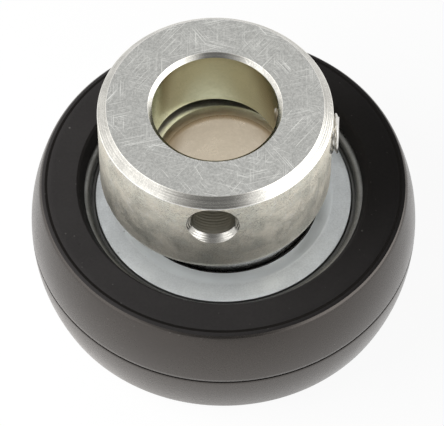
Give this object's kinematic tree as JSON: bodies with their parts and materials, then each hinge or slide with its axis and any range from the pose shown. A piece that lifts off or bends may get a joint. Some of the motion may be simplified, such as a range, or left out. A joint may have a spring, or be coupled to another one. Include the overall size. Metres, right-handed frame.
{
  "type": "insert bearing",
  "caption": "Radial insert ball bearing: spherical outer ring in a rubber mounting ring, extended inner ring, sealed on both sides, with an eccentric locking collar and grub screw.",
  "frame": {"origin": "on the shaft's axis at the rubber ring's lower face, on which the bearing stands", "axes": "+Z along the shaft's axis towards the locking collar, -Y towards the collar's drift hole, +X towards its grub screw"},
  "size_m": [0.0472, 0.0472, 0.0302],
  "materials": {
    "rubber": "matt moulded rubber",
    "outer_ring_steel": "ground bearing steel",
    "inner_ring_steel": "ground bearing steel",
    "ball_steel": "polished bearing steel",
    "cage_plastic": "moulded polyamide",
    "washer_zinc": "zinc-coated sheet steel",
    "seal_rubber": "moulded seal rubber",
    "collar_steel": "turned and ground steel, satin",
    "screw_steel": "zinc-coated steel"
  },
  "bodies": {
    "outer_unit": {"rubber_ring": "rubber", "outer_ring": "outer_ring_steel", "upper_outer_washer": "washer_zinc", "upper_seal_lip": "seal_rubber", "upper_inner_washer": "washer_zinc", "lower_outer_washer": "washer_zinc", "lower_seal_lip": "seal_rubber", "lower_inner_washer": "washer_zinc"},
    "inner_ring": {"inner_ring": "inner_ring_steel"},
    "cage": {"ball_cage": "cage_plastic"},
    "ball_1": {"ball_1": "ball_steel"},
    "ball_2": {"ball_2": "ball_steel"},
    "ball_3": {"ball_3": "ball_steel"},
    "ball_4": {"ball_4": "ball_steel"},
    "ball_5": {"ball_5": "ball_steel"},
    "ball_6": {"ball_6": "ball_steel"},
    "ball_7": {"ball_7": "ball_steel"},
    "ball_8": {"ball_8": "ball_steel"},
    "collar": {"locking_collar": "collar_steel"},
    "screw": {"grub_screw": "screw_steel"}
  },
  "joints": [
    {"name": "inner_ring_spin", "type": "hinge", "parent": "outer_unit", "child": "inner_ring", "pos_m": [0, 0, 0.0081], "axis": [0, 0, 1], "continuous": true},
    {"name": "cage_spin", "type": "hinge", "parent": "outer_unit", "child": "cage", "pos_m": [0, 0, 0.0081], "axis": [0, 0, 1], "continuous": true},
    {"name": "ball_1_spin", "type": "hinge", "parent": "cage", "child": "ball_1", "pos_m": [0.01425, 0, 0.0081], "axis": [0, 0, 1], "continuous": true},
    {"name": "ball_2_spin", "type": "hinge", "parent": "cage", "child": "ball_2", "pos_m": [0.01008, 0.01008, 0.0081], "axis": [0, 0, 1], "continuous": true},
    {"name": "ball_3_spin", "type": "hinge", "parent": "cage", "child": "ball_3", "pos_m": [0, 0.01425, 0.0081], "axis": [0, 0, 1], "continuous": true},
    {"name": "ball_4_spin", "type": "hinge", "parent": "cage", "child": "ball_4", "pos_m": [-0.01008, 0.01008, 0.0081], "axis": [0, 0, 1], "continuous": true},
    {"name": "ball_5_spin", "type": "hinge", "parent": "cage", "child": "ball_5", "pos_m": [-0.01425, 0, 0.0081], "axis": [0, 0, 1], "continuous": true},
    {"name": "ball_6_spin", "type": "hinge", "parent": "cage", "child": "ball_6", "pos_m": [-0.01008, -0.01008, 0.0081], "axis": [0, 0, 1], "continuous": true},
    {"name": "ball_7_spin", "type": "hinge", "parent": "cage", "child": "ball_7", "pos_m": [0, -0.01425, 0.0081], "axis": [0, 0, 1], "continuous": true},
    {"name": "ball_8_spin", "type": "hinge", "parent": "cage", "child": "ball_8", "pos_m": [0.01008, -0.01008, 0.0081], "axis": [0, 0, 1], "continuous": true},
    {"name": "collar_turn", "type": "hinge", "parent": "inner_ring", "child": "collar", "pos_m": [-0.00075, 0.00027, 0.0202], "axis": [0, 0, 1], "continuous": true},
    {"name": "screw_travel", "type": "slide", "parent": "collar", "child": "screw", "axis": [0.999, -0.0436, 0], "range_m": [-0.0012, 0.0015]}
  ],
  "couplings": [
    {"joint": "cage_spin", "follows": "inner_ring_spin", "ratio": 0.38163},
    {"joint": "ball_1_spin", "follows": "inner_ring_spin", "ratio": -1.9937},
    {"joint": "ball_2_spin", "follows": "inner_ring_spin", "ratio": -1.9937},
    {"joint": "ball_3_spin", "follows": "inner_ring_spin", "ratio": -1.9937},
    {"joint": "ball_4_spin", "follows": "inner_ring_spin", "ratio": -1.9937},
    {"joint": "ball_5_spin", "follows": "inner_ring_spin", "ratio": -1.9937},
    {"joint": "ball_6_spin", "follows": "inner_ring_spin", "ratio": -1.9937},
    {"joint": "ball_7_spin", "follows": "inner_ring_spin", "ratio": -1.9937},
    {"joint": "ball_8_spin", "follows": "inner_ring_spin", "ratio": -1.9937}
  ]
}
